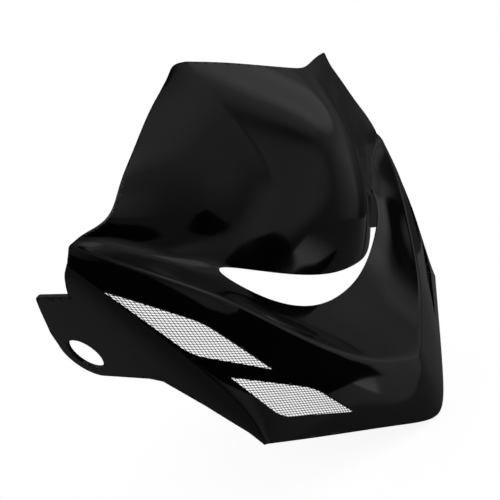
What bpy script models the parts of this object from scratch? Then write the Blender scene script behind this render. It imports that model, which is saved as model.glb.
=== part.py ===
# Motorcycle windscreen: one moulded shell with a bulged blade, a crescent air slot under its lip,
# a scoop with a raised rim, a grille face with two vents a side, and a folded flange with a mounting tab.
# A mesh panel is bonded behind the vents on each side. Left and right are the rider's.
#
# The half at +X is drawn in millimetres from the middle of the top edge, with the nose towards -Y
# and +Z up. The finished part stands with the middle of its bounding box's underside at the origin.

import bpy
import bmesh
from math import cos, radians, sin
from mathutils import Matrix, Vector

MM = 0.001
MERGE = 0.00001

# Overall reach of the half shell as drawn, and as wanted
DRAWN_HALF_WIDTH = 186.7
DRAWN_DEPTH = 168.2
DRAWN_HEIGHT = 222.9
HALF_WIDTH = 186.7
DEPTH = 168.2
HEIGHT = 222.9

# Shell
WALL = 2.0
FACE_CROWN = 1.0
SUBDIVISIONS = 2
RIM_SHARPNESS = 0.75
CREASE_SHARPNESS = 0.8
KEEL_SHARPNESS = 0.3
NOSE_SHARPNESS = (0.35, 0.2)
FADING = (1.0, 1.0, 0.6, 0.15)
PANEL_SUBDIVISIONS = 1
CORNER_SEGMENTS = 4
SMOOTH_ANGLE = 30.0

# Mounting tab
TAB_HOLE_RADIUS = 11.4
TAB_LIGAMENT = 6.8
TAB_HOLE_SEGMENTS = 40

# Slot, and how far smoothing draws an edge point towards the middle of its neighbours
SLOT_END_RADIUS = 2.0
SMOOTHING = 1 / 3
ROUND_SEGMENTS = 24

# Vents and their mesh panels
VENT_TIP_RADIUS = 1.2
VENT_BEND_RADIUS = 7.0
PANEL_GAP = 0.35
PANEL_THICKNESS = 0.8
PANEL_CORNER_RADIUS = 3.0
DIAMOND_LENGTH = 12.0
DIAMOND_HEIGHT = 7.6
STRAND = 2.0
PANEL_BORDER = 1.2

CUT_DEPTH = 24.0
TRIM_DEPTH = 9.0

# Sections of the half shell from the middle plane out to its rear edge, top to bottom.
# Every section has the same eight stations, counted from 0. The crease beside the bubble runs
# down the blade at one of them, and the next one meets the end of the slot.
CREASE = 3
TOP_EDGE = [
    (0, 0, 0.2), (28, 9, 3), (58, 19.5, 6.2), (82, 27.8, 7.2),
    (87.5, 29.6, 6.6), (91, 30.6, 4.8), (93.5, 30.4, 1.8), (96, 30, -1.5)]
UPPER_BLADE = [
    (0, -19.6, -17), (24, -8.7, -17), (48, 1.4, -17), (71, 11, -16.5),
    (82, 15, -16.3), (93, 19, -16.1), (104, 23, -16), (114.3, 26.7, -15.8)]
MIDDLE_BLADE = [
    (0, -33.3, -39), (21, -28.9, -40), (41, -14.5, -40), (58.5, -4.5, -40),
    (77, 2, -38.3), (95.5, 8.7, -36.7), (114, 15.2, -35), (132.1, 21.8, -33.4)]
BUBBLE = [
    (0, -43.2, -63.4), (20, -36.7, -64), (38, -27.4, -65), (52.7, -18.3, -65.3),
    (74.2, -7.9, -60.4), (99.5, -0.2, -55.5), (122.7, 9, -50.6), (147, 17.5, -45.7)]
LOWER_BLADE = [
    (0, -52.5, -88.8), (29, -40.1, -89), (55.4, -28, -88), (76.2, -13.6, -86),
    (96, -4.7, -82), (117.5, 2.4, -75), (137.4, 9, -68), (157.2, 12.4, -59.5)]
LIP = [
    (0, -49.1, -121.5), (27, -43, -122.8), (55.4, -31.5, -116.2), (81, -19.9, -107),
    (113, -4.2, -95), (124, 3, -92.5), (142, 11, -84), (167.3, 14.7, -65)]
SLOT_EDGE = [
    (0, -37.2, -148.2), (35, -36.2, -144), (66, -30.5, -132.5), (95.3, -22.8, -114)]
SCOOP = [
    (0, -62.4, -163.7), (35.5, -57.5, -158.5), (67.5, -48, -144), (94.5, -34.5, -125.3),
    (114, -20, -105.5), (133, -6, -94.5), (152, 6.5, -83), (174.2, 17.3, -66)]
RIM = [
    (0, -94.5, -176.5), (36, -82, -168.5), (68, -68.5, -151), (95, -50, -130.5),
    (122, -31.5, -107), (145, -14.5, -91.5), (164, 1.5, -80), (181.6, 17.8, -69)]
FRONT_EDGE = [
    (0, -116, -218.8), (42.5, -99.2, -204.1), (81.7, -83.1, -192), (111, -70.9, -182.9)]

# The flange is flat: it holds the fold line under the grille face and the middle of the tab's hole.
FOLD_FRONT = (134.3, -61.2, -175.2)
FOLD_REAR = (188, 14.5, -78)
TAB_HOLE = (162.7, 38.4, -141.7)

# Flange stations and outlines are (along the fold from its front end, away from the fold).
FLANGE_FOLD = [(0, 0), (45, -3.5), (90, -3.5), (134.4, 0)]
FLANGE_UPPER = [(-1, 8.5), (43, 12.3), (86, 12.2), (128.5, 16.6), (143, 40)]
FLANGE_LOWER = [(-2.5, 38), (35, 53), (66, 73), (95, 90), (130, 84)]
LOWER_OUTLINE = [(0, 3.4), (10.2, 4.6), (34.8, 12.9), (58, 23), (62.5, 30.8)]
TAB_BACK = [(112.5, 66.4), (125.6, 52.5), (131.8, 45.2)]
NOTCH = [(131.7, 40), (123.3, 18.9), (127.4, 13.4), (131.0, 7.9), (133.4, 3.6)]
TRIM_BOX = [(160, 3.6), (160, 110), (-30, 110), (-30, 3.4)]
TAB_END_START = 165.0
TAB_END_TURN = -117.0
TAB_END_STEPS = 9

# Corners on the grille face: (station, fraction of the way from the rim to the fold).
UPPER_VENT = [(6.50, 0.80), (4.71, 0.31), (3.48, 0.43), (5.16, 0.76)]
LOWER_VENT = [(4.48, 0.68), (2.64, 0.51), (1.85, 0.75), (3.53, 0.81)]
PANEL_REAR = 0
PANEL_FRONT = 4
PANEL = [(6.69, 0.77), (4.80, 0.14), (3.30, 0.24), (2.35, 0.36), (1.45, 0.80), (3.58, 0.85), (5.33, 0.88)]

GLOSS_BLACK = (0.010, 0.010, 0.011, 1.0)
GLOSS_ROUGHNESS = 0.08
MESH_BLACK = (0.020, 0.020, 0.022, 1.0)
MESH_ROUGHNESS = 0.4
MESH_METALLIC = 0.6


def drawn(point):
    """A drawn point in millimetres, stretched to the wanted overall reach."""
    x, y, z = point
    return Vector((x * HALF_WIDTH / DRAWN_HALF_WIDTH, y * DEPTH / DRAWN_DEPTH, z * HEIGHT / DRAWN_HEIGHT))


def clear_scene():
    for item in list(bpy.data.objects):
        bpy.data.objects.remove(item, do_unlink=True)


def new_collection(name):
    collection = bpy.data.collections.new(name)
    bpy.context.scene.collection.children.link(collection)
    return collection


def plastic(name, colour, roughness, metallic):
    material = bpy.data.materials.new(name)
    material.use_nodes = True
    shader = material.node_tree.nodes["Principled BSDF"]
    shader.inputs["Base Color"].default_value = colour
    shader.inputs["Roughness"].default_value = roughness
    shader.inputs["Metallic"].default_value = metallic
    return material


def new_object(name, bm, collection):
    """Turn a bmesh drawn in millimetres into an object in metres."""
    bmesh.ops.scale(bm, vec=(MM, MM, MM), verts=bm.verts)
    mesh = bpy.data.meshes.new(name)
    bm.to_mesh(mesh)
    bm.free()
    item = bpy.data.objects.new(name, mesh)
    collection.objects.link(item)
    return item


def hide_cutter(item):
    item.hide_render = True
    item.display_type = "WIRE"


# The flange's own axes
FLANGE_ORIGIN = drawn(FOLD_FRONT)
ALONG = (drawn(FOLD_REAR) - FLANGE_ORIGIN).normalized()
FLANGE_OUT = (drawn(TAB_HOLE) - FLANGE_ORIGIN).cross(ALONG).normalized()
AWAY = ALONG.cross(FLANGE_OUT)


def on_flange(point):
    along, away = point
    return FLANGE_ORIGIN + ALONG * along + AWAY * away


def flange_coordinates(position):
    offset = position - FLANGE_ORIGIN
    return Vector((offset.dot(ALONG), offset.dot(AWAY)))


def sections():
    """All the sections as lists of points, keyed by name."""
    rows = {}
    drawn_rows = {
        "top": TOP_EDGE, "upper": UPPER_BLADE, "middle": MIDDLE_BLADE, "bubble": BUBBLE,
        "lower": LOWER_BLADE, "lip": LIP, "scoop": SCOOP, "rim": RIM}
    for name, points in drawn_rows.items():
        rows[name] = [drawn(point) for point in points]
    shared = len(SLOT_EDGE)
    rows["slot"] = [drawn(point) for point in SLOT_EDGE] + rows["lip"][shared:]
    rows["fold"] = [drawn(point) for point in FRONT_EDGE]
    rows["fold"] += [on_flange(point) for point in FLANGE_FOLD]
    crown = Vector((0, -FACE_CROWN, 0))
    rows["face"] = [(a + b) / 2 + crown for a, b in zip(rows["rim"], rows["fold"])]
    rows["flange_upper"] = [on_flange(point) for point in FLANGE_UPPER]
    rows["flange_lower"] = [on_flange(point) for point in FLANGE_LOWER]
    return rows


def loft(bm, top, bottom):
    """Join two sections with a strip of faces that look outwards, as far as the shorter one goes."""
    for a, b, c, d in zip(top, bottom, bottom[1:], top[1:]):
        bm.faces.new((a, b, c, d))


def sharpen(bm, vertices, chain, amount):
    """Crease the edges along a chain of (section, station) pairs."""
    crease = bm.edges.layers.float["crease_edge"]
    for (row_a, i), (row_b, j), weight in zip(chain, chain[1:], amount):
        edge = bm.edges.get((vertices[row_a][i], vertices[row_b][j]))
        if edge:
            edge[crease] = weight


def keep_corner(bm, vertex):
    """Hold a boundary corner in place while the cage is smoothed."""
    vertex[bm.verts.layers.float["crease_vert"]] = 1.0


def cage(names):
    """Coarse cage of the half shell made of the named sections, lofted one to the next."""
    rows = sections()
    bm = bmesh.new()
    bm.edges.layers.float.new("crease_edge")
    bm.verts.layers.float.new("crease_vert")
    vertices = {}
    for name in names:
        if name == "slot":
            shared = len(SLOT_EDGE)
            own = [bm.verts.new(point) for point in rows["slot"][:shared]]
            vertices["slot"] = own + vertices["lip"][shared:]
        else:
            vertices[name] = [bm.verts.new(point) for point in rows[name]]
    for upper, lower in zip(names, names[1:]):
        if (upper, lower) == ("lip", "slot"):
            continue
        first = len(FRONT_EDGE) if upper == "fold" else 0
        loft(bm, vertices[upper][first:], vertices[lower])
    rim_count = len(RIM) - 1
    sharpen(bm, vertices, [("rim", i) for i in range(rim_count + 1)], [RIM_SHARPNESS] * rim_count)
    if "top" in names:
        blade = ["top", "upper", "middle", "bubble", "lower"]
        sharpen(bm, vertices, [(name, CREASE) for name in blade], [CREASE_SHARPNESS * f for f in FADING])
        sharpen(bm, vertices, [(name, 0) for name in blade], [KEEL_SHARPNESS * f for f in FADING])
    if "fold" in names:
        sharpen(bm, vertices, [("rim", 0), ("face", 0), ("fold", 0)], NOSE_SHARPNESS)
    keep_corner(bm, vertices["fold"][len(FRONT_EDGE)])
    bmesh.ops.remove_doubles(bm, verts=bm.verts, dist=MERGE / MM)
    return bm


SHELL_ROWS = [
    "top", "upper", "middle", "bubble", "lower", "lip", "slot", "scoop",
    "rim", "face", "fold", "flange_upper", "flange_lower"]
PANEL_ROWS = ["scoop", "rim", "face", "fold", "flange_upper", "flange_lower"]


def add_subdivision(item, levels):
    modifier = item.modifiers.new("smooth form", "SUBSURF")
    modifier.levels = levels
    modifier.render_levels = levels


def add_wall(item, thickness):
    modifier = item.modifiers.new("wall", "SOLIDIFY")
    modifier.thickness = thickness * MM
    modifier.offset = -1.0
    modifier.use_even_offset = True


def add_boolean(item, cutter, operation):
    modifier = item.modifiers.new(cutter.name, "BOOLEAN")
    modifier.operation = operation
    modifier.solver = "EXACT"
    modifier.object = cutter


def on_face(corner):
    """Point of the grille face at a (station, fraction) pair."""
    station, fraction = corner
    rows = sections()
    first = min(int(station), len(RIM) - 2)
    share = station - first
    upper = rows["rim"][first].lerp(rows["rim"][first + 1], share)
    lower = rows["fold"][first].lerp(rows["fold"][first + 1], share)
    return upper.lerp(lower, fraction)


def plane_of(points):
    """Middle and outward normal of a nearly flat outline on the grille face."""
    middle = sum(points, Vector()) / len(points)
    normal = Vector()
    for a, b in zip(points, points[1:] + points[:1]):
        normal += (a - middle).cross(b - middle)
    normal.normalize()
    if normal.y > 0:
        normal = -normal
    return middle, normal


def prism(points, normal, depth, radii=None):
    """Closed prism on a flat outline, reaching the depth to both sides, with rounded corners."""
    bm = bmesh.new()
    bottom = [bm.verts.new(point - normal * depth) for point in points]
    face = bm.faces.new(bottom)
    if radii:
        for vertex, radius in zip(bottom, radii):
            bmesh.ops.bevel(
                bm, geom=[vertex], offset=radius, offset_type="OFFSET",
                segments=CORNER_SEGMENTS, profile=0.5, affect="VERTICES", material=-1)
        face = max(bm.faces, key=lambda f: f.calc_area())
    swept = bmesh.ops.extrude_face_region(bm, geom=[face], use_keep_orig=True)
    moved = [part for part in swept["geom"] if isinstance(part, bmesh.types.BMVert)]
    bmesh.ops.translate(bm, vec=normal * depth * 2, verts=moved)
    bmesh.ops.recalc_face_normals(bm, faces=bm.faces)
    return bm


def flatten(points, middle, normal):
    return [point - normal * (point - middle).dot(normal) for point in points]


def vent_cutter(name, corners, collection):
    points = [on_face(corner) for corner in corners]
    middle, normal = plane_of(points)
    flat = flatten(points, middle, normal)
    radii = [VENT_TIP_RADIUS, VENT_BEND_RADIUS, VENT_TIP_RADIUS, VENT_BEND_RADIUS]
    return new_object(name, prism(flat, normal, CUT_DEPTH / 2, radii), collection)


def tab_outline():
    """Outline of what the trim removes around the flange, in flange coordinates."""
    centre = flange_coordinates(drawn(TAB_HOLE))
    reach = TAB_HOLE_RADIUS + TAB_LIGAMENT
    arc = []
    for step in range(TAB_END_STEPS + 1):
        angle = radians(TAB_END_START + TAB_END_TURN * step / TAB_END_STEPS)
        arc.append(tuple(centre + Vector((cos(angle), sin(angle))) * reach))
    return LOWER_OUTLINE + arc + TAB_BACK + NOTCH + TRIM_BOX


def trim_cutter(collection):
    points = [on_flange(point) for point in tab_outline()]
    return new_object("flange_trim", prism(points, FLANGE_OUT, TRIM_DEPTH), collection)


def drill(name, centre, axis, radius, depth, segments, collection):
    """Round cutter along an axis, centred on a point."""
    bm = bmesh.new()
    bmesh.ops.create_cone(
        bm, cap_ends=True, segments=segments, radius1=radius, radius2=radius, depth=depth)
    turn = axis.to_track_quat("Z", "Y").to_matrix().to_4x4()
    bmesh.ops.transform(bm, matrix=Matrix.Translation(centre) @ turn, verts=bm.verts)
    return new_object(name, bm, collection)


def hole_cutter(collection):
    return drill(
        "tab_hole", drawn(TAB_HOLE), FLANGE_OUT, TAB_HOLE_RADIUS, TRIM_DEPTH * 2,
        TAB_HOLE_SEGMENTS, collection)


def slot_end_cutter(collection):
    """Rounds the pointed end of the slot, where the lip meets the scoop."""
    rows = sections()
    last = len(SLOT_EDGE)
    end = rows["lip"][last]
    upper = rows["lip"][last - 1]
    lower = rows["slot"][last - 1]
    smoothed = end.lerp((upper + lower) / 2, SMOOTHING)
    inward = ((upper + lower) / 2 - end).normalized()
    axis = (upper - end).cross(lower - end).normalized()
    centre = smoothed + inward * SLOT_END_RADIUS
    return drill("slot_end", centre, axis, SLOT_END_RADIUS, CUT_DEPTH, ROUND_SEGMENTS, collection)


def mirrored(item, name, collection):
    """Copy of an object reflected in the middle plane, with its faces still outwards."""
    bm = bmesh.new()
    bm.from_mesh(item.data)
    bmesh.ops.scale(bm, vec=(-1, 1, 1), verts=bm.verts)
    bmesh.ops.reverse_faces(bm, faces=bm.faces)
    mesh = bpy.data.meshes.new(name)
    bm.to_mesh(mesh)
    bm.free()
    copy = bpy.data.objects.new(name, mesh)
    collection.objects.link(copy)
    return copy


def inside(point, outline):
    """Whether a flat point lies in a flat outline."""
    found = False
    for a, b in zip(outline, outline[1:] + outline[:1]):
        if (a.y > point.y) != (b.y > point.y):
            crossing = a.x + (point.y - a.y) * (b.x - a.x) / (b.y - a.y)
            if point.x < crossing:
                found = not found
    return found


def lattice(points, middle, normal, collection):
    """Diamond prisms in staggered rows that fit inside the panel's outline."""
    along = (points[PANEL_REAR] - points[PANEL_FRONT]).normalized()
    across = normal.cross(along)
    outline = [Vector(((p - middle).dot(along), (p - middle).dot(across))) for p in points]
    half_length = (DIAMOND_LENGTH - STRAND) / 2
    half_height = (DIAMOND_HEIGHT - STRAND) / 2
    margin_length = half_length + PANEL_BORDER
    margin_height = half_height + PANEL_BORDER
    bm = bmesh.new()
    low_x = min(p.x for p in outline)
    high_x = max(p.x for p in outline)
    low_y = min(p.y for p in outline)
    high_y = max(p.y for p in outline)
    row_count = int((high_y - low_y) / (DIAMOND_HEIGHT / 2)) + 1
    column_count = int((high_x - low_x) / DIAMOND_LENGTH) + 1
    for row in range(row_count):
        for column in range(column_count):
            stagger = DIAMOND_LENGTH / 2 if row % 2 else 0.0
            centre = Vector((low_x + column * DIAMOND_LENGTH + stagger, low_y + row * DIAMOND_HEIGHT / 2))
            reach = [
                centre + Vector((margin_length, 0)), centre + Vector((0, margin_height)),
                centre - Vector((margin_length, 0)), centre - Vector((0, margin_height))]
            if not all(inside(point, outline) for point in reach):
                continue
            corners = [
                centre + Vector((half_length, 0)), centre + Vector((0, half_height)),
                centre - Vector((half_length, 0)), centre - Vector((0, half_height))]
            placed = [middle + along * c.x + across * c.y for c in corners]
            bottom = [bm.verts.new(point - normal * CUT_DEPTH / 2) for point in placed]
            top = [bm.verts.new(point + normal * CUT_DEPTH / 2) for point in placed]
            bm.faces.new(bottom)
            bm.faces.new(top)
            for a, b, c, d in zip(bottom, bottom[1:] + bottom[:1], top[1:] + top[:1], top):
                bm.faces.new((a, b, c, d))
    bmesh.ops.recalc_face_normals(bm, faces=bm.faces)
    return new_object("mesh_lattice", bm, collection)


def evaluated_mesh(item):
    graph = bpy.context.evaluated_depsgraph_get()
    return bpy.data.meshes.new_from_object(item.evaluated_get(graph))


def make_shell(parts, cutters):
    shell = new_object("shell", cage(SHELL_ROWS), parts)
    mirror = shell.modifiers.new("other half", "MIRROR")
    mirror.use_axis = (True, False, False)
    mirror.use_clip = True
    mirror.merge_threshold = MERGE
    add_subdivision(shell, SUBDIVISIONS)
    add_wall(shell, WALL)
    tools = [
        trim_cutter(cutters), hole_cutter(cutters), slot_end_cutter(cutters),
        vent_cutter("upper_vent", UPPER_VENT, cutters), vent_cutter("lower_vent", LOWER_VENT, cutters)]
    for tool in tools:
        other = mirrored(tool, tool.name + "_mirrored", cutters)
        for cutter in (tool, other):
            hide_cutter(cutter)
            add_boolean(shell, cutter, "DIFFERENCE")
    return shell


def make_panels(parts, cutters):
    """A thin diamond mesh panel behind the vents of each side."""
    base = new_object("mesh_left", cage(PANEL_ROWS), parts)
    add_subdivision(base, PANEL_SUBDIVISIONS)
    seat = base.modifiers.new("seat behind the wall", "DISPLACE")
    seat.direction = "NORMAL"
    seat.mid_level = 0.0
    seat.strength = -(WALL + PANEL_GAP) * MM
    add_wall(base, PANEL_THICKNESS)
    points = [on_face(corner) for corner in PANEL]
    middle, normal = plane_of(points)
    flat = flatten(points, middle, normal)
    outline = prism(flat, normal, CUT_DEPTH / 2, [PANEL_CORNER_RADIUS] * len(flat))
    outline_cutter = new_object("panel_outline", outline, cutters)
    holes = lattice(flat, middle, normal, cutters)
    hide_cutter(outline_cutter)
    hide_cutter(holes)
    add_boolean(base, outline_cutter, "INTERSECT")
    add_boolean(base, holes, "DIFFERENCE")
    finished = evaluated_mesh(base)
    base.modifiers.clear()
    base.data = finished
    other = mirrored(base, "mesh_right", parts)
    return [base, other]


def shade(item, material):
    item.data.materials.clear()
    item.data.materials.append(material)
    item.data.shade_smooth()
    item.data.set_sharp_from_angle(angle=radians(SMOOTH_ANGLE))


def stand_on_origin(shell, items):
    """Move everything so that the shell's bounding box stands on the origin."""
    mesh = evaluated_mesh(shell)
    low_y = min(v.co.y for v in mesh.vertices)
    high_y = max(v.co.y for v in mesh.vertices)
    low_z = min(v.co.z for v in mesh.vertices)
    move = Matrix.Translation((0, -(low_y + high_y) / 2, -low_z))
    bpy.data.meshes.remove(mesh)
    for item in items:
        item.data.transform(move)


def main():
    clear_scene()
    parts = new_collection("motorcycle_windscreen")
    cutters = new_collection("cutters")
    black_plastic = plastic("gloss black moulding", GLOSS_BLACK, GLOSS_ROUGHNESS, 0.0)
    black_mesh = plastic("black coated mesh", MESH_BLACK, MESH_ROUGHNESS, MESH_METALLIC)
    shell = make_shell(parts, cutters)
    panels = make_panels(parts, cutters)
    shade(shell, black_plastic)
    for panel in panels:
        shade(panel, black_mesh)
    stand_on_origin(shell, [shell] + panels + list(cutters.objects))


main()
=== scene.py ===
# %% [markdown]
# # A gloss black motorcycle windscreen
#
# The real part is one thin moulding: a bulged blade, a crescent air slot under its lip, a scoop
# with a raised rim, a grille face with two vents a side, and a folded flange that ends in a
# mounting tab. Fine wire mesh is bonded behind the vents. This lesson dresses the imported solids
# with a smoother moulding, mesh at its real pitch, gloss that shows a studio, and the
# photograph's camera.

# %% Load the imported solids
import bpy
import bmesh
from math import cos, radians, sin
from mathutils import Matrix, Vector
from mathutils.bvhtree import BVHTree


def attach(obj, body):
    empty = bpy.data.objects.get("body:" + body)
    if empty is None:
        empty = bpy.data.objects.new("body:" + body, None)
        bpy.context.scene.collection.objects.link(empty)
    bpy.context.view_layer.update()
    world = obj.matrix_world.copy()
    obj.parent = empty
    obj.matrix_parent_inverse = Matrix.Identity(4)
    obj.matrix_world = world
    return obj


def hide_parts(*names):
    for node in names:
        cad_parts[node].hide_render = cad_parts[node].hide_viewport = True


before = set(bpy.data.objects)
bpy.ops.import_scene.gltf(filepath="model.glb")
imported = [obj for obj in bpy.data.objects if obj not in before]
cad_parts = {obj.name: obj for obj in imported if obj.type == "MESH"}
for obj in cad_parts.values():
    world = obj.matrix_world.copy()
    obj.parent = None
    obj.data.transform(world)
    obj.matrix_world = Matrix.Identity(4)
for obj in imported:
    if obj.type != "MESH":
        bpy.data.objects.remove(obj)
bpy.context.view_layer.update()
print("nodes", sorted(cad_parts))

# %% [markdown]
# ## The form as sections
#
# A moulding like this has no single primitive to start from. It could be sculpted, or its
# surfaces could be drawn as curves, but a coarse cage of matching sections is the easiest to
# keep even on both sides. Only the half at +X is drawn, in millimetres from the middle of the
# top edge, and a full section has eight stations from the middle plane out to the rear edge.
# The slot and the fold are drawn by half: their rear halves come from the lip and the flange.

# %% Sections of the half shell
SECTIONS = {
    "top": [
        (0, 0, 0.2), (28, 9, 3), (58, 19.5, 6.2), (82, 27.8, 7.2),
        (87.5, 29.6, 6.6), (91, 30.6, 4.8), (93.5, 30.4, 1.8), (96, 30, -1.5)],
    "upper": [
        (0, -19.6, -17), (24, -8.7, -17), (48, 1.4, -17), (71, 11, -16.5),
        (82, 15, -16.3), (93, 19, -16.1), (104, 23, -16), (114.3, 26.7, -15.8)],
    "middle": [
        (0, -33.3, -39), (21, -28.9, -40), (41, -14.5, -40), (58.5, -4.5, -40),
        (77, 2, -38.3), (95.5, 8.7, -36.7), (114, 15.2, -35), (132.1, 21.8, -33.4)],
    "bubble": [
        (0, -43.2, -63.4), (20, -36.7, -64), (38, -27.4, -65), (52.7, -18.3, -65.3),
        (74.2, -7.9, -60.4), (99.5, -0.2, -55.5), (122.7, 9, -50.6), (147, 17.5, -45.7)],
    "lower": [
        (0, -52.5, -88.8), (29, -40.1, -89), (55.4, -28, -88), (76.2, -13.6, -86),
        (96, -4.7, -82), (117.5, 2.4, -75), (137.4, 9, -68), (157.2, 12.4, -59.5)],
    "lip": [
        (0, -49.1, -121.5), (27, -43, -122.8), (55.4, -31.5, -116.2), (81, -19.9, -107),
        (113, -4.2, -95), (124, 3, -92.5), (142, 11, -84), (167.3, 14.7, -65)],
    "slot": [
        (0, -37.2, -148.2), (35, -36.2, -144), (66, -30.5, -132.5), (95.3, -22.8, -114)],
    "scoop": [
        (0, -62.4, -163.7), (35.5, -57.5, -158.5), (67.5, -48, -144), (94.5, -34.5, -125.3),
        (114, -20, -105.5), (133, -6, -94.5), (152, 6.5, -83), (174.2, 17.3, -66)],
    "rim": [
        (0, -94.5, -176.5), (36, -82, -168.5), (68, -68.5, -151), (95, -50, -130.5),
        (122, -31.5, -107), (145, -14.5, -91.5), (164, 1.5, -80), (181.6, 17.8, -69)],
    "fold": [
        (0, -116, -218.8), (42.5, -99.2, -204.1), (81.7, -83.1, -192), (111, -70.9, -182.9)],
}
sections = {name: [Vector(p) for p in points] for name, points in SECTIONS.items()}
print("sections drawn", len(sections))

# %% [markdown]
# ## The flange's plane
#
# The flange is one flat plate, so its points are drawn on a plane: so far along the fold, and
# so far away from it. The plane goes through the fold line and the middle of the tab's hole.
# The grille face needs no points of its own: it lies halfway between rim and fold, and bulges
# forwards by a millimetre.

# %% Sections on the flange and the grille face
FOLD_FRONT = Vector((134.3, -61.2, -175.2))
FOLD_REAR = Vector((188, 14.5, -78))
TAB_HOLE = Vector((162.7, 38.4, -141.7))
ALONG = (FOLD_REAR - FOLD_FRONT).normalized()
FLANGE_OUT = (TAB_HOLE - FOLD_FRONT).cross(ALONG).normalized()
AWAY = ALONG.cross(FLANGE_OUT)
FOLD_END = [(0, 0), (45, -3.5), (90, -3.5), (134.4, 0)]
FLANGE_UPPER = [(-1, 8.5), (43, 12.3), (86, 12.2), (128.5, 16.6), (143, 40)]
FLANGE_LOWER = [(-2.5, 38), (35, 53), (66, 73), (95, 90), (130, 84)]
FACE_CROWN = Vector((0, -1.0, 0))


def on_flange(along, away):
    return FOLD_FRONT + ALONG * along + AWAY * away


sections["fold"] += [on_flange(*p) for p in FOLD_END]
sections["flange_upper"] = [on_flange(*p) for p in FLANGE_UPPER]
sections["flange_lower"] = [on_flange(*p) for p in FLANGE_LOWER]
sections["face"] = [(a + b) / 2 + FACE_CROWN for a, b in zip(sections["rim"], sections["fold"])]
print("fold length mm", round((FOLD_REAR - FOLD_FRONT).length, 1))

# %% [markdown]
# ## From sections to a cage
#
# Each section becomes a chain of edges, and bridging two chains fills the strip between them.
# The slot is simply a strip that is left open: its lower edge joins the lip where it ends. The
# flange hangs from the rear half of the fold.

# %% Bridge the sections
STATIONS = 8
STRIPS = [
    "top", "upper", "middle", "bubble", "lower", "lip", "slot", "scoop",
    "rim", "face", "fold", "flange_upper", "flange_lower"]


def chain(bm, points):
    """Vertices joined one to the next."""
    verts = [bm.verts.new(p) for p in points]
    for a, b in zip(verts, verts[1:]):
        bm.edges.new((a, b))
    return verts


def chain_edges(bm, verts):
    return [bm.edges.get(pair) for pair in zip(verts, verts[1:])]


cage = bmesh.new()
edge_crease = cage.edges.layers.float.new("crease_edge")
vert_crease = cage.verts.layers.float.new("crease_vert")
rows = {name: chain(cage, sections[name]) for name in STRIPS}
slot_stations = len(SECTIONS["slot"])
cage.edges.new((rows["slot"][-1], rows["lip"][slot_stations]))
rows["slot"] += rows["lip"][slot_stations:]
for above, below in zip(STRIPS, STRIPS[1:]):
    if above == "lip":
        continue
    top, bottom = rows[above], rows[below]
    if above == "fold":
        top, bottom = top[STATIONS // 2:], bottom[:STATIONS // 2]
    bmesh.ops.bridge_loops(cage, edges=chain_edges(cage, top) + chain_edges(cage, bottom))
print("cage faces", len(cage.faces), "loose edges", sum(1 for e in cage.edges if not e.link_faces))

# %% [markdown]
# ## Where the form stays crisp
#
# A Subdivision Surface rounds everything, so the lines that a toolmaker would keep get a
# crease: the rim, the line between the bulge and its wings, the keel and the nose. A crease of 1
# is sharp, and the blade's lines fade out downwards. The faces are then turned to look forwards.

# %% Creases
RIM_SHARPNESS = 0.75
WING_SHARPNESS = 0.8
KEEL_SHARPNESS = 0.3
BLADE_FADING = [1.0, 1.0, 0.6, 0.15]
NOSE_SHARPNESS = [0.35, 0.2]
WING_STATION = 3


def crease(verts, weights):
    for vert, following, weight in zip(verts, verts[1:], weights):
        cage.edges.get((vert, following))[edge_crease] = weight


crease(rows["rim"], [RIM_SHARPNESS] * (STATIONS - 1))
for station, sharpness in ((WING_STATION, WING_SHARPNESS), (0, KEEL_SHARPNESS)):
    crease([rows[name][station] for name in STRIPS[:5]], [sharpness * f for f in BLADE_FADING])
crease([rows[name][0] for name in ("rim", "face", "fold")], NOSE_SHARPNESS)
rows["fold"][STATIONS // 2][vert_crease] = 1.0
bmesh.ops.recalc_face_normals(cage, faces=cage.faces)
if sum(f.normal.y * f.calc_area() for f in cage.faces) > 0:
    bmesh.ops.reverse_faces(cage, faces=cage.faces)
print("creased edges", sum(1 for e in cage.edges if e[edge_crease] > 0))

# %% [markdown]
# ## The smooth surface
#
# Mirroring the cage before it is smoothed lets the surface run over the middle plane without a
# seam. Four rounds of subdivision make faces of about 2 mm, fine enough for a gloss finish,
# which shows every flat spot. Drawn millimetres become metres here.

# %% The moulded surface
MM = 0.001
DRAWING_ORIGIN = Vector((0.0, 27.422, 215.909))
SMOOTHING = 4


def in_place(bm):
    """Drawn millimetres to metres in the frame."""
    bmesh.ops.translate(bm, vec=DRAWING_ORIGIN, verts=bm.verts)
    bmesh.ops.scale(bm, vec=(MM, MM, MM), verts=bm.verts)


def new_object(name, bm):
    mesh = bpy.data.meshes.new(name)
    bm.to_mesh(mesh)
    bm.free()
    item = bpy.data.objects.new(name, mesh)
    bpy.context.scene.collection.objects.link(item)
    return item


def applied(item):
    """The object's mesh with its modifiers worked in, and the modifiers gone."""
    graph = bpy.context.evaluated_depsgraph_get()
    mesh = bpy.data.meshes.new_from_object(item.evaluated_get(graph))
    item.modifiers.clear()
    item.data = mesh
    return item


in_place(cage)
surface = new_object("surface", cage)
half = surface.modifiers.new("other half", "MIRROR")
half.use_clip = True
half.merge_threshold = 0.01 * MM
smooth = surface.modifiers.new("smooth form", "SUBSURF")
smooth.levels = SMOOTHING
smooth.render_levels = SMOOTHING
applied(surface)
print("surface quads", len(surface.data.polygons))

# %% [markdown]
# ## Vents, holes and the tab's outline
#
# On a moulding the openings are shaped by the mould. Here they are cut afterwards, which leaves
# the cage simple: each cutter is a prism or a drill that is set square to the face it cuts. A
# vent's corners are drawn on the grille face, as so far along its stations and so far down from
# the rim, and two of them have a wide radius.

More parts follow.
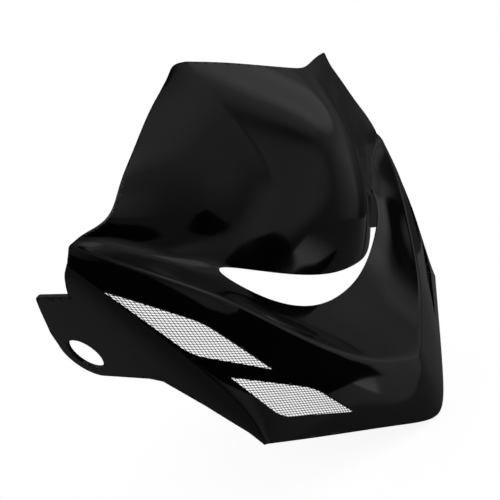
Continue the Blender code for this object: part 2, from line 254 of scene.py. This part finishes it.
# %% Cutters for the vents
UPPER_VENT = [(6.5, 0.8), (4.71, 0.31), (3.48, 0.43), (5.16, 0.76)]
LOWER_VENT = [(4.48, 0.68), (2.64, 0.51), (1.85, 0.75), (3.53, 0.81)]
VENT_RADII = [1.2, 7.0, 1.2, 7.0]
CUT_DEPTH = 24.0
CORNER_SEGMENTS = 12


def on_face(station, fraction):
    """Point of the grille face, so far along it and so far down from the rim to the fold."""
    first = min(int(station), STATIONS - 2)
    share = station - first
    upper = sections["rim"][first].lerp(sections["rim"][first + 1], share)
    lower = sections["fold"][first].lerp(sections["fold"][first + 1], share)
    return upper.lerp(lower, fraction)


def face_plane(points):
    """Middle of an outline, and the direction in which it faces forwards."""
    middle = sum(points, Vector()) / len(points)
    normal = Vector()
    for a, b in zip(points, points[1:] + points[:1]):
        normal += (a - middle).cross(b - middle)
    normal.normalize()
    return middle, normal if normal.y < 0 else -normal


def prism(points, normal, depth, radii=()):
    """Closed prism on a flat outline, with rounded corners where radii are given."""
    bm = bmesh.new()
    bottom = [bm.verts.new(p - normal * depth / 2) for p in points]
    bm.faces.new(bottom)
    for vert, radius in zip(bottom, radii):
        bmesh.ops.bevel(
            bm, geom=[vert], offset=radius, offset_type="OFFSET", segments=CORNER_SEGMENTS,
            profile=0.5, affect="VERTICES", material=-1)
    swept = bmesh.ops.extrude_face_region(bm, geom=bm.faces[:], use_keep_orig=True)
    moved = [g for g in swept["geom"] if isinstance(g, bmesh.types.BMVert)]
    bmesh.ops.translate(bm, vec=normal * depth, verts=moved)
    bmesh.ops.recalc_face_normals(bm, faces=bm.faces)
    return bm


def vent(corners):
    points = [on_face(*corner) for corner in corners]
    middle, normal = face_plane(points)
    flat = [p - normal * (p - middle).dot(normal) for p in points]
    return prism(flat, normal, CUT_DEPTH, VENT_RADII)


vents = [vent(UPPER_VENT), vent(LOWER_VENT)]
print("vent cutters", len(vents))

# %% [markdown]
# The flange is cut to its outline in one go by a prism that holds everything outside it: the
# lower edge, a round about the tab's hole, the tab's back edge with its small tip, and the notch
# above it. A tab like this keeps the same width of material round its hole, which fixes the
# round's radius.

# %% Cutter for the flange's outline
HOLE_RADIUS = 11.4
LIGAMENT = 6.8
TRIM_DEPTH = 18.0
TAB_ARC = (165, 48)
ARC_STEPS = 24
LOWER_OUTLINE = [(0, 3.4), (10.2, 4.6), (34.8, 12.9), (58, 23), (62.5, 30.8)]
TAB_BACK = [(112.5, 66.4), (125.6, 52.5), (130.6, 46.7), (132.0, 44.7), (132.5, 42.9)]
NOTCH = [(132.2, 41.2), (131.4, 39.2), (123.3, 18.9), (127.4, 13.4), (131.0, 7.9), (133.4, 3.6)]
TRIM_BOX = [(160, 3.6), (160, 110), (-30, 110), (-30, 3.4)]


def flange_trim():
    offset = TAB_HOLE - FOLD_FRONT
    hole_along, hole_away = offset.dot(ALONG), offset.dot(AWAY)
    reach = HOLE_RADIUS + LIGAMENT
    start, end = TAB_ARC
    angles = [radians(start + (end - start) * step / ARC_STEPS) for step in range(ARC_STEPS + 1)]
    arc = [(hole_along + cos(a) * reach, hole_away + sin(a) * reach) for a in angles]
    outline = LOWER_OUTLINE + arc + TAB_BACK + NOTCH + TRIM_BOX
    return prism([on_flange(*p) for p in outline], FLANGE_OUT, TRIM_DEPTH)


trim = flange_trim()
print("trim outline points", len(trim.verts) // 2)

# %% [markdown]
# Two round tools are left: the drill for the tab's hole, and a thin one for the end of the slot.
# Where the lip runs into the scoop the slot would end in a sharp point, and a moulding ends it
# in a small round, which also keeps it from cracking there.

# %% Drills for the tab and the end of the slot
SLOT_END_RADIUS = 2.0
ROUND_SEGMENTS = 96


def drill(centre, axis, radius, depth):
    bm = bmesh.new()
    bmesh.ops.create_cone(
        bm, cap_ends=True, segments=ROUND_SEGMENTS, radius1=radius, radius2=radius, depth=depth)
    turn = axis.to_track_quat("Z", "Y").to_matrix().to_4x4()
    bmesh.ops.transform(bm, matrix=Matrix.Translation(centre) @ turn, verts=bm.verts)
    return bm


def slot_end():
    end = sections["lip"][slot_stations]
    upper = sections["lip"][slot_stations - 1]
    lower = sections["slot"][slot_stations - 1]
    smoothed = (end * 4 + upper + lower) / 6
    inward = ((upper + lower) / 2 - end).normalized()
    axis = (upper - end).cross(lower - end).normalized()
    return drill(smoothed + inward * SLOT_END_RADIUS, axis, SLOT_END_RADIUS, CUT_DEPTH)


cutters = [trim, drill(TAB_HOLE, FLANGE_OUT, HOLE_RADIUS, TRIM_DEPTH), slot_end(), *vents]
print("cutters a side", len(cutters))

# %% [markdown]
# ## Wall and cuts
#
# The moulding is about 2 mm thick. Solidify gives the smooth surface its wall inwards, and exact
# Booleans take away each cutter together with its reflection in the middle plane, so the two
# sides stay even.

# %% The shell
WALL = 2.0


def both_sides(bm):
    """A cutter and its reflection in the middle plane, in one mesh."""
    whole = bm.verts[:] + bm.edges[:] + bm.faces[:]
    bmesh.ops.mirror(bm, geom=whole, axis="X", merge_dist=0.0001)
    bmesh.ops.recalc_face_normals(bm, faces=bm.faces)
    return bm


shell = bpy.data.objects.new("moulding", surface.data.copy())
bpy.context.scene.collection.objects.link(shell)
wall = shell.modifiers.new("wall", "SOLIDIFY")
wall.thickness = WALL * MM
wall.offset = -1.0
wall.use_even_offset = True
tools = []
for cutter in cutters:
    in_place(cutter)
    tool = new_object("cutter", both_sides(cutter))
    cut = shell.modifiers.new("cut", "BOOLEAN")
    cut.operation = "DIFFERENCE"
    cut.solver = "EXACT"
    cut.object = tool
    tools.append(tool)
applied(shell)
for tool in tools:
    bpy.data.objects.remove(tool)
print("shell faces", len(shell.data.polygons))

# %% [markdown]
# ## Softened edges
#
# A moulding's edges carry a small radius, which shows as a thin bright line round its outline. A
# Bevel limited by angle finds just the cut edges, and weighted normals keep the broad faces from
# shading towards them. Its overlap clamp keeps it from running over the short edges that the cuts
# leave, which also makes it narrower than asked.

# %% Edge radius
EDGE_RADIUS = 0.35
SHARP_ANGLE = 50
edge = shell.modifiers.new("edge radius", "BEVEL")
edge.width = EDGE_RADIUS * MM
edge.segments = 2
edge.limit_method = "ANGLE"
edge.angle_limit = radians(SHARP_ANGLE)
edge.use_clamp_overlap = True
for polygon in shell.data.polygons:
    polygon.use_smooth = True
weighted = shell.modifiers.new("broad faces lead", "WEIGHTED_NORMAL")
weighted.mode = "FACE_AREA_WITH_ANGLE"
weighted.weight = 90
applied(shell)
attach(shell, "root")
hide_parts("shell")
print("moulding faces", len(shell.data.polygons))

# %% [markdown]
# ## Wire mesh behind the vents
#
# The photograph shows fine expanded mesh, a leaning diamond net with holes 3.3 mm by 1.6 mm.
# Holes could be painted with transparency, but light falls through real ones. One panel lies
# behind both vents of a side, so first its outline is drawn on the grille face and given two
# directions, along the vents and across them.

# %% The panel's outline
PANEL = [
    (6.69, 0.77), (4.8, 0.14), (3.3, 0.24), (2.35, 0.36),
    (1.45, 0.8), (3.58, 0.85), (5.33, 0.88)]
LOWEST_CORNER = 4

corners = [on_face(*corner) for corner in PANEL]
middle, facing = face_plane(corners)
lengthwise = (corners[0] - corners[LOWEST_CORNER]).normalized()
lengthwise = (lengthwise - facing * lengthwise.dot(facing)).normalized()
crosswise = facing.cross(lengthwise)
outline = [Vector(((p - middle).dot(lengthwise), (p - middle).dot(crosswise))) for p in corners]
print("panel length mm", round(max(p.x for p in outline) - min(p.x for p in outline), 1))

# %% [markdown]
# The net starts as a square grid. One matrix stretches it into leaning diamonds, and the cells
# outside the outline go. Each point is then dropped on the moulded surface along the panel's
# facing, and set behind the wall, so the net follows the face's slight crown.

# %% The net
CELL_LENGTH = 3.3
CELL_HEIGHT = 1.6
CELL_LEAN = -0.55
GRID_CELLS = 98
STRAND = 0.5
PANEL_GAP = 0.35
CLEAR_OF_FACE = 20


def inside(point):
    """Whether a point lies in the outline: a line out of it crosses an odd number of sides."""
    found = False
    for a, b in zip(outline, outline[1:] + outline[:1]):
        if (a.y > point.y) != (b.y > point.y):
            if point.x < a.x + (point.y - a.y) * (b.x - a.x) / (b.y - a.y):
                found = not found
    return found


net = bmesh.new()
bmesh.ops.create_grid(net, x_segments=GRID_CELLS, y_segments=GRID_CELLS, size=GRID_CELLS / 2)
to_diamonds = Matrix.Identity(4)
to_diamonds[0][:2] = (CELL_LEAN + CELL_LENGTH) / 2, (CELL_LEAN - CELL_LENGTH) / 2
to_diamonds[1][:2] = CELL_HEIGHT / 2, CELL_HEIGHT / 2
bmesh.ops.transform(net, matrix=to_diamonds, verts=net.verts)
outside = [f for f in net.faces if not inside(f.calc_center_median().to_2d())]
bmesh.ops.delete(net, geom=outside, context="FACES")
skin = BVHTree.FromObject(surface, bpy.context.evaluated_depsgraph_get())
for vert in net.verts:
    drawn = middle + lengthwise * vert.co.x + crosswise * vert.co.y
    start = (drawn + facing * CLEAR_OF_FACE + DRAWING_ORIGIN) * MM
    hit, normal, index, distance = skin.ray_cast(start, -facing)
    depth = WALL + PANEL_GAP + STRAND
    vert.co = hit / MM - normal * depth - DRAWING_ORIGIN
in_place(net)
bpy.data.objects.remove(surface)
print("mesh cells a side", len(net.faces))

# %% [markdown]
# Expanded mesh is one sheet, slit and pulled open, so its strands have corners where they meet.
# The Wireframe modifier gives just that: a square strand along every edge, and a closed mesh. The
# right panel is the left one's reflection, turned right side out again.

# %% Mesh panels
panels = []
for side, hand in ((1, "left"), (-1, "right")):
    half_net = net.copy()
    bmesh.ops.scale(half_net, vec=(side, 1, 1), verts=half_net.verts)
    if side < 0:
        bmesh.ops.reverse_faces(half_net, faces=half_net.faces)
    panel = new_object("wire_mesh_" + hand, half_net)
    strands = panel.modifiers.new("strands", "WIREFRAME")
    strands.thickness = STRAND * MM
    strands.use_even_offset = False
    strands.use_boundary = True
    strands.use_replace = True
    applied(panel)
    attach(panel, "root")
    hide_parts("mesh_" + hand)
    panels.append(panel)
    print(panel.name, "faces", len(panel.data.polygons))
net.free()

# %% [markdown]
# ## Finish of the moulding
#
# The moulding is ABS, dyed black through and injection moulded against a polished tool. It could
# be one flat black with a clear coat, but a bare moulding is simpler than that: black plastic
# sends back almost no light of its own, and what is seen is its skin, a mirror that gives back
# about a twenty-fifth of what stands round it. Its skin isn't perfect. It shrinks a little as it
# cools, which leaves faint waves, and handling leaves it hazier in some places than in others.

# %% Moulded gloss black ABS
def hex_colour(code):
    """An sRGB hex value as linear red, green, blue and alpha."""
    values = [int(code[i:i + 2], 16) / 255 for i in (1, 3, 5)]
    linear = [v / 12.92 if v <= 0.04045 else ((v + 0.055) / 1.055) ** 2.4 for v in values]
    return (*linear, 1.0)


def per_metre(size):
    """A noise's scale for patches of this many millimetres, as Object coordinates are metres."""
    return 1 / (size * MM)


def add_node(tree, kind, settings=None, links=None):
    """One node. Settings are its properties or its input sockets, by name or number, and links
    are given as {input: (node, output)}."""
    node = tree.nodes.new(kind)
    for key, value in (settings or {}).items():
        if isinstance(key, int) or key in node.inputs:
            node.inputs[key].default_value = value
        else:
            setattr(node, key, value)
    for key, (source, output) in (links or {}).items():
        tree.links.new(source.outputs[output], node.inputs[key])
    return node


abs_black = bpy.data.materials.new("moulded gloss black ABS")
abs_black.use_nodes = True
tree = abs_black.node_tree
shader = tree.nodes["Principled BSDF"]
# Dyed through: near black, with the cool cast of carbon black. The IOR is a common plastic's, and
# the softboxes' strengths are matched to it.
shader.inputs["Base Color"].default_value = hex_colour("#0d0d0e")
shader.inputs["IOR"].default_value = 1.5
place = add_node(tree, "ShaderNodeTexCoord")
# Waves of shrinkage, about 22 mm from crest to crest and a hundredth of a millimetre high. They
# make the edge of a reflected lamp waver, which tells moulded plastic from glass.
SHRINK_WAVE = 22
ripple = add_node(
    tree, "ShaderNodeTexNoise", {"Scale": per_metre(SHRINK_WAVE), "Detail": 2.0, "Roughness": 0.4},
    {"Vector": (place, "Object")})
bump = add_node(
    tree, "ShaderNodeBump", {"Strength": 0.02, "Distance": 0.6 * MM}, {"Height": (ripple, "Fac")})
# Haze in patches about as wide as a palm, 70 mm. A polished tool gives a roughness near 0.05, and
# handling raises it to 0.1, so the gloss is softer here and there.
HAZE_PATCH = 70
haze = add_node(
    tree, "ShaderNodeTexNoise", {"Scale": per_metre(HAZE_PATCH), "Detail": 3.0},
    {"Vector": (place, "Object")})
spread = add_node(
    tree, "ShaderNodeMapRange", {"From Min": 0.3, "From Max": 0.7, "To Min": 0.05, "To Max": 0.1},
    {"Value": (haze, "Fac")})
tree.links.new(bump.outputs["Normal"], shader.inputs["Normal"])
tree.links.new(spread.outputs["Result"], shader.inputs["Roughness"])
shell.data.materials.clear()
shell.data.materials.append(abs_black)
print("finish", abs_black.name)

# %% [markdown]
# ## Finish of the mesh
#
# The mesh is aluminium sheet, slit and stretched, then powder coated. A bare metal shader would
# be wrong, because the coat hides the metal: it is a satin black paint, rougher than the moulding
# and a little paler, so that the net shows as dark grey threads and never mirrors a lamp.

# %% Powder coated black aluminium
coated = bpy.data.materials.new("powder coated black aluminium")
coated.use_nodes = True
tree = coated.node_tree
shader = tree.nodes["Principled BSDF"]
shader.inputs["IOR"].default_value = 1.5
place = add_node(tree, "ShaderNodeTexCoord")
# A powder coat's own grain is a fifth of a millimetre, too fine to show at this distance. It is
# drawn at 1.1 mm, about two strands wide, and varies the coat's colour and roughness.
COAT_GRAIN = 1.1
grain = add_node(
    tree, "ShaderNodeTexNoise", {"Scale": per_metre(COAT_GRAIN), "Detail": 2.0},
    {"Vector": (place, "Object")})
worn = add_node(
    tree, "ShaderNodeMapRange", {"From Min": 0.35, "From Max": 0.65, "To Min": 0.3, "To Max": 0.5},
    {"Value": (grain, "Fac")})
tint = add_node(
    tree, "ShaderNodeMix",
    {"data_type": "RGBA", 6: hex_colour("#1b1b1d"), 7: hex_colour("#2a2a2c")},
    {"Factor": (grain, "Fac")})
tree.links.new(tint.outputs[2], shader.inputs["Base Color"])
tree.links.new(worn.outputs["Result"], shader.inputs["Roughness"])
for panel in panels:
    panel.data.materials.clear()
    panel.data.materials.append(coated)
print("finish", coated.name)

# %% [markdown]
# ## Studio
#
# Gloss black shows nothing but its surroundings, so the studio is the finish. A lamp could be a
# glowing plane for each softbox, but a large softbox far away is the same from every point of a
# small object, so each is drawn in the world as a soft-edged disc about a direction. Azimuth is
# counted from the nose towards the rider's left, and elevation up from the floor. A negative
# strength is a flag: it takes light out of the softboxes that it overlaps, and the world never
# gets darker than the room. The camera itself sees plain white.

# %% Softboxes
SOFTBOXES = [
    # name, azimuth, elevation, full out to, gone at, strength; all angles in degrees
    ("front fill", 30, 17, 9, 42, 0.10),
    ("low front", 38, 6, 6, 24, 0.12),
    ("key", 43, 42, 5, 15, 0.45),
    ("glow round the key", 49, 32, 12, 37, 0.12),
    ("upper front", 20, 47, 4, 15, 0.20),
    ("side fill", 69, 31, 10, 43, 0.11),
    ("side top", 66, 52, 4, 14, 0.16),
    ("nose fill", -2, 16, 5, 20, 0.20),
    ("overhead", 0, 90, 10, 20, 0.60),
    ("back fill", 200, 35, 15, 60, 0.20),
    ("back strip", 186, 34, 5, 13, 0.60),
    ("right fill", -100, 35, 10, 40, 0.25),
    ("flag over the key", 46, 57, 4, 11, -0.22)]
ROOM = 0.03


def direction(azimuth, elevation):
    a, e = radians(azimuth), radians(elevation)
    return Vector((sin(a) * cos(e), -cos(a) * cos(e), sin(e)))


world = bpy.data.worlds.new("studio")
bpy.context.scene.world = world
world.use_nodes = True
tree = world.node_tree
tree.nodes.clear()
sky = add_node(tree, "ShaderNodeTexCoord")
light = None
for name, azimuth, elevation, inner, outer, strength in SOFTBOXES:
    towards = add_node(
        tree, "ShaderNodeVectorMath",
        {"operation": "DOT_PRODUCT", "label": name, 1: direction(azimuth, elevation)},
        {0: (sky, "Generated")})
    disc = add_node(
        tree, "ShaderNodeMapRange", {
            "interpolation_type": "SMOOTHSTEP", "From Min": cos(radians(outer)),
            "From Max": cos(radians(inner)), "To Max": strength},
        {"Value": (towards, "Value")})
    added = add_node(
        tree, "ShaderNodeMath", {"operation": "ADD", 0: ROOM}, {1: (disc, "Result")})
    if light:
        tree.links.new(light.outputs[0], added.inputs[0])
    light = added
least = add_node(tree, "ShaderNodeMath", {"operation": "MAXIMUM", 1: ROOM}, {0: (light, "Value")})
print("softboxes", len(SOFTBOXES))

# %% World
WHITE = (1, 1, 1, 1)
room = add_node(tree, "ShaderNodeBackground", {"Color": WHITE}, {"Strength": (least, "Value")})
white = add_node(tree, "ShaderNodeBackground", {"Color": WHITE, "Strength": 1.0})
path = add_node(tree, "ShaderNodeLightPath")
choice = add_node(
    tree, "ShaderNodeMixShader", {},
    {0: (path, "Is Camera Ray"), 1: (room, "Background"), 2: (white, "Background")})
add_node(tree, "ShaderNodeOutputWorld", {}, {"Surface": (choice, "Shader")})
print("world nodes", len(tree.nodes))

# %% [markdown]
# ## Floor
#
# The part stands on a sheet of pale paper. The camera sees it as white, darkened only close under
# the part, where Ambient Occlusion stands in for the soft shadow. The gloss and the light see the
# paper's own grey, which brightens the undersides. The sheet ends about a metre out, so that low
# reflections run from paper into the dark room, as in the photograph.

# %% Paper floor
PAPER_SIZE = (1.7, 2.4)
PAPER_MIDDLE = (-0.35, -0.3, -0.001)
SHADOW_REACH = 120 * MM
SHADOW_LEVEL = 0.86


def plane(name, size, middle, normal, turn=0.0):
    """A flat sheet of the studio, standing or lying."""
    bm = bmesh.new()
    bmesh.ops.create_grid(bm, x_segments=1, y_segments=1, size=0.5)
    bmesh.ops.scale(bm, vec=(*size, 1), verts=bm.verts)
    item = new_object(name, bm)
    stand = Vector(normal).to_track_quat("Z", "Y").to_matrix().to_4x4()
    spin = Matrix.Rotation(radians(turn), 4, "Z")
    item.matrix_world = Matrix.Translation(middle) @ stand @ spin
    return item


floor = plane("studio_floor", PAPER_SIZE, PAPER_MIDDLE, (0, 0, 1))
paper = bpy.data.materials.new("white paper sweep")
paper.use_nodes = True
tree = paper.node_tree
shader = tree.nodes["Principled BSDF"]
shader.inputs["Base Color"].default_value = hex_colour("#b0b0b0")
shader.inputs["Roughness"].default_value = 0.9
near = add_node(
    tree, "ShaderNodeAmbientOcclusion", {"Distance": SHADOW_REACH, "samples": 8})
shade = add_node(
    tree, "ShaderNodeMapRange", {"From Max": 0.9, "To Min": SHADOW_LEVEL},
    {"Value": (near, "AO")})
glow = add_node(tree, "ShaderNodeEmission", {"Color": WHITE}, {"Strength": (shade, "Result")})
path = add_node(tree, "ShaderNodeLightPath")
blend = add_node(
    tree, "ShaderNodeMixShader", {},
    {0: (path, "Is Camera Ray"), 1: (shader, "BSDF"), 2: (glow, "Emission")})
tree.links.new(blend.outputs[0], tree.nodes["Material Output"].inputs["Surface"])
floor.data.materials.append(paper)
print("floor", floor.name)

# %% [markdown]
# ## Flag and card
#
# Two sheets near the nose shape the gloss where distant softboxes can't. A black flag stands
# 40 mm off the grille face and even with it, and gives the face its near-black band. The flag's
# lower edge is the line where that band stops, and its upper edge reaches up just to where the
# dark patch over the slot needs it. A white card in front gives the lower blade its light tongue,
# and fades out upwards. Both are hidden from the camera itself, and cast no light or shadow on
# anything, so only the gloss knows of them.

# %% Flag's outline
FLAG_FOOT = Vector((-67.1, -92.1, 0))
FLAG_RUN = Vector((-0.808, 0.589, 0))
FLAG_EDGE = [
    (-145, 50), (12, 50), (52, 60), (100, 78), (128, 100), (150, 128), (190, 130), (190, 200),
    (150, 200), (130, 185), (100, 153), (72, 130), (54, 123), (40, 125), (28, 132), (14, 142),
    (-4, 148), (-12, 136), (-30, 110), (-50, 84), (-85, 70), (-145, 60)]
cloth = bmesh.new()
cloth.faces.new([
    cloth.verts.new((FLAG_FOOT + FLAG_RUN * run + Vector((0, 0, height))) * MM)
    for run, height in FLAG_EDGE])
flag = new_object("black_flag", cloth)
print("flag corners", len(FLAG_EDGE))

# %% Flag and card
CARD_SIZE = (0.085, 0.036)
CARD_MIDDLE = (0.009, -0.180, 0.077)
card = plane("white_card", CARD_SIZE, CARD_MIDDLE, (0, 1, 0), turn=44)
for item, strength in ((flag, 0.0), (card, 0.75)):
    sheet = bpy.data.materials.new(item.name)
    sheet.use_nodes = True
    tree = sheet.node_tree
    shader = tree.nodes["Principled BSDF"]
    shader.inputs["Base Color"].default_value = hex_colour("#000000")
    shader.inputs["Roughness"].default_value = 1.0
    shader.inputs["Specular IOR Level"].default_value = 0.0
    shader.inputs["Emission Color"].default_value = hex_colour("#ffffff")
    shader.inputs["Emission Strength"].default_value = strength
    item.data.materials.append(sheet)
    item.visible_camera = False
    item.visible_diffuse = False
    item.visible_shadow = False
    print(item.name, "strength", strength)

# %% Card fades out upwards
tree = card.active_material.node_tree
shader = tree.nodes["Principled BSDF"]
place = add_node(tree, "ShaderNodeTexCoord")
split = add_node(tree, "ShaderNodeSeparateXYZ", {}, {"Vector": (place, "Object")})
fade = add_node(
    tree, "ShaderNodeMapRange", {
        "interpolation_type": "SMOOTHSTEP", "From Min": -CARD_SIZE[1] / 2,
        "From Max": CARD_SIZE[1] / 2, "To Min": 1.0, "To Max": 0.0},
    {"Value": (split, "Y")})
clear = add_node(tree, "ShaderNodeBsdfTransparent")
soft = add_node(
    tree, "ShaderNodeMixShader", {},
    {0: (fade, "Result"), 1: (clear, "BSDF"), 2: (shader, "BSDF")})
tree.links.new(soft.outputs[0], tree.nodes["Material Output"].inputs["Surface"])
print("card nodes", len(tree.nodes))

# %% [markdown]
# ## The photograph's camera
#
# The lens, place and turn were worked out from the part itself: its two halves match, and the
# tab's hole is round, which together leave only one way to look at it. The camera stands near,
# in front and on the rider's right, just above the top edge, and looks down by 20 degrees.

# %% Photograph's camera
EYE = Vector((-349.8, -195.5, 24.0))
camera = bpy.data.cameras.new("photograph")
camera.lens = 43.2
camera.sensor_width = 36
eye = bpy.data.objects.new("photograph", camera)
bpy.context.scene.collection.objects.link(eye)
eye.location = (EYE + DRAWING_ORIGIN) * MM
eye.rotation_euler = (radians(69.78), 0, radians(-56.0))
bpy.context.scene.camera = eye
bpy.context.scene.view_settings.view_transform = "Standard"
print("eye at", [round(v, 3) for v in eye.location])
